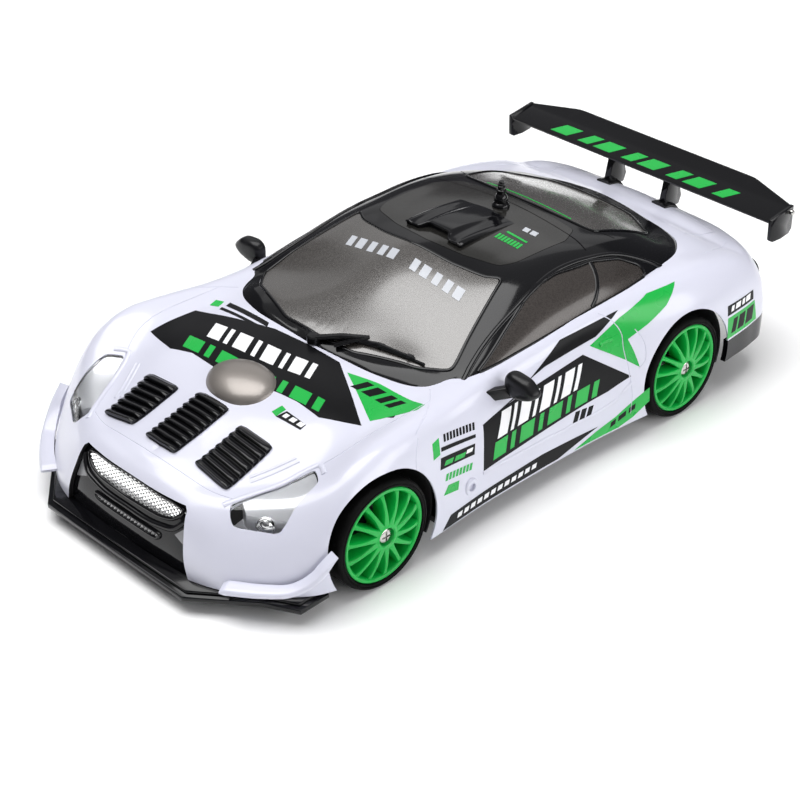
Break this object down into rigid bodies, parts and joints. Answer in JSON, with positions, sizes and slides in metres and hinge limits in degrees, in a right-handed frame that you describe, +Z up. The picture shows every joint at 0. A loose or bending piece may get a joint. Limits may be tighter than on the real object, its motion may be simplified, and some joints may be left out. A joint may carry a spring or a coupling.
{
  "type": "radio-controlled drift car",
  "caption": "Small-scale radio-controlled widebody coupe with a rear wing, low-profile tyres on spoked rims, shaft-driven four-wheel drive and linked front steering.",
  "frame": {"origin": "on the ground under the centre of the bounding box", "axes": "+X points forward to the nose, +Y to the left side, +Z up"},
  "size_m": [0.197, 0.1086, 0.0568],
  "materials": {
    "white_shell": "gloss white moulded shell",
    "black_gloss": "gloss",
    "black_satin": "satin",
    "bronze_window": "warm grey metallic flake, opaque",
    "clear_lens": "clear",
    "silver_trim": "silver",
    "red_lens": "gloss",
    "green_rim": "satin gloss green",
    "tyre_rubber": "smooth",
    "steel": "plain",
    "dark_nylon": "plain",
    "cell_wrap": "shrink wrap",
    "board_green": "plain"
  },
  "bodies": {
    "chassis": {"body_shell": "white_shell", "cabin_shell": "black_gloss", "windscreen": "bronze_window", "rear_window": "bronze_window", "side_window_left": "bronze_window", "side_window_right": "bronze_window", "front_grille": "black_satin", "front_splitter": "black_satin", "headlight_lens_left": "clear_lens", "headlight_lens_right": "clear_lens", "headlight_reflector_left": "silver_trim", "headlight_reflector_right": "silver_trim", "bonnet_vent_left": "black_satin", "bonnet_vent_right": "black_satin", "bonnet_vent_center": "black_satin", "bonnet_bulge": "silver_trim", "roof_scoop": "black_gloss", "roof_antenna": "black_satin", "wiper": "black_satin", "mirror_left": "black_satin", "mirror_right": "black_satin", "wing_blade": "black_satin", "wing_support_left": "black_satin", "wing_support_right": "black_satin", "rear_diffuser": "black_satin", "tail_light_left": "red_lens", "tail_light_right": "red_lens", "body_screw_left": "white_shell", "body_screw_right": "white_shell", "drive_motor": "steel", "front_gearbox": "dark_nylon", "rear_gearbox": "dark_nylon", "steering_servo": "dark_nylon", "chassis_tub": "black_satin", "battery_pack": "cell_wrap", "circuit_board": "board_green"},
    "power_switch": {"power_switch": "black_satin"},
    "knuckle_left": {"knuckle_left": "dark_nylon"},
    "knuckle_right": {"knuckle_right": "dark_nylon"},
    "front_wheel_left": {"stub_axle_left": "steel", "rim_front_left": "green_rim", "tyre_front_left": "tyre_rubber", "wheel_screw_front_left": "steel"},
    "front_wheel_right": {"stub_axle_right": "steel", "rim_front_right": "green_rim", "tyre_front_right": "tyre_rubber", "wheel_screw_front_right": "steel"},
    "rear_axle_set": {"rear_axle": "steel", "rim_rear_left": "green_rim", "rim_rear_right": "green_rim", "tyre_rear_left": "tyre_rubber", "tyre_rear_right": "tyre_rubber", "wheel_screw_rear_left": "steel", "wheel_screw_rear_right": "steel"},
    "front_driveshaft": {"front_driveshaft": "steel"},
    "center_driveshaft": {"center_driveshaft": "steel"},
    "motor_pinion": {"motor_pinion": "steel"},
    "tie_rod": {"tie_rod": "dark_nylon"},
    "servo_horn": {"servo_horn": "white_shell"}
  },
  "joints": [
    {"name": "power_switch_slide", "type": "slide", "parent": "chassis", "child": "power_switch", "axis": [1, 0, 0], "range_m": [0, 0.002]},
    {"name": "steer_left", "type": "hinge", "parent": "chassis", "child": "knuckle_left", "pos_m": [0.058, 0.041, 0.014], "axis": [0, 0, 1], "range_deg": [-25, 25]},
    {"name": "steer_right", "type": "hinge", "parent": "chassis", "child": "knuckle_right", "pos_m": [0.058, -0.041, 0.014], "axis": [0, 0, 1], "range_deg": [-25, 25]},
    {"name": "tie_rod_slide", "type": "slide", "parent": "chassis", "child": "tie_rod", "axis": [0, 1, 0], "range_m": [-0.0022, 0.0022]},
    {"name": "servo_horn_turn", "type": "hinge", "parent": "chassis", "child": "servo_horn", "pos_m": [0.037, 0.014, 0.0186], "axis": [0, 0, 1], "range_deg": [-16, 16]},
    {"name": "rear_axle_spin", "type": "hinge", "parent": "chassis", "child": "rear_axle_set", "pos_m": [-0.05, 0, 0.014], "axis": [0, 1, 0], "continuous": true},
    {"name": "front_driveshaft_spin", "type": "hinge", "parent": "chassis", "child": "front_driveshaft", "pos_m": [0.058, 0, 0.014], "axis": [0, 1, 0], "continuous": true},
    {"name": "front_wheel_left_spin", "type": "hinge", "parent": "knuckle_left", "child": "front_wheel_left", "pos_m": [0.058, 0.041, 0.014], "axis": [0, 1, 0], "continuous": true},
    {"name": "front_wheel_right_spin", "type": "hinge", "parent": "knuckle_right", "child": "front_wheel_right", "pos_m": [0.058, -0.041, 0.014], "axis": [0, 1, 0], "continuous": true},
    {"name": "center_driveshaft_spin", "type": "hinge", "parent": "chassis", "child": "center_driveshaft", "pos_m": [0, 0, 0.014], "axis": [1, 0, 0], "continuous": true},
    {"name": "motor_pinion_spin", "type": "hinge", "parent": "chassis", "child": "motor_pinion", "pos_m": [-0.028, -0.009, 0.014], "axis": [1, 0, 0], "continuous": true}
  ],
  "couplings": [
    {"joint": "steer_right", "follows": "steer_left", "ratio": 1},
    {"joint": "tie_rod_slide", "follows": "steer_left", "m_per_rad": -0.00492},
    {"joint": "servo_horn_turn", "follows": "steer_left", "ratio": -0.625},
    {"joint": "front_driveshaft_spin", "follows": "rear_axle_spin", "ratio": 1},
    {"joint": "front_wheel_left_spin", "follows": "rear_axle_spin", "ratio": 1},
    {"joint": "front_wheel_right_spin", "follows": "rear_axle_spin", "ratio": 1},
    {"joint": "center_driveshaft_spin", "follows": "rear_axle_spin", "ratio": -2.4},
    {"joint": "motor_pinion_spin", "follows": "rear_axle_spin", "ratio": 7.2}
  ]
}
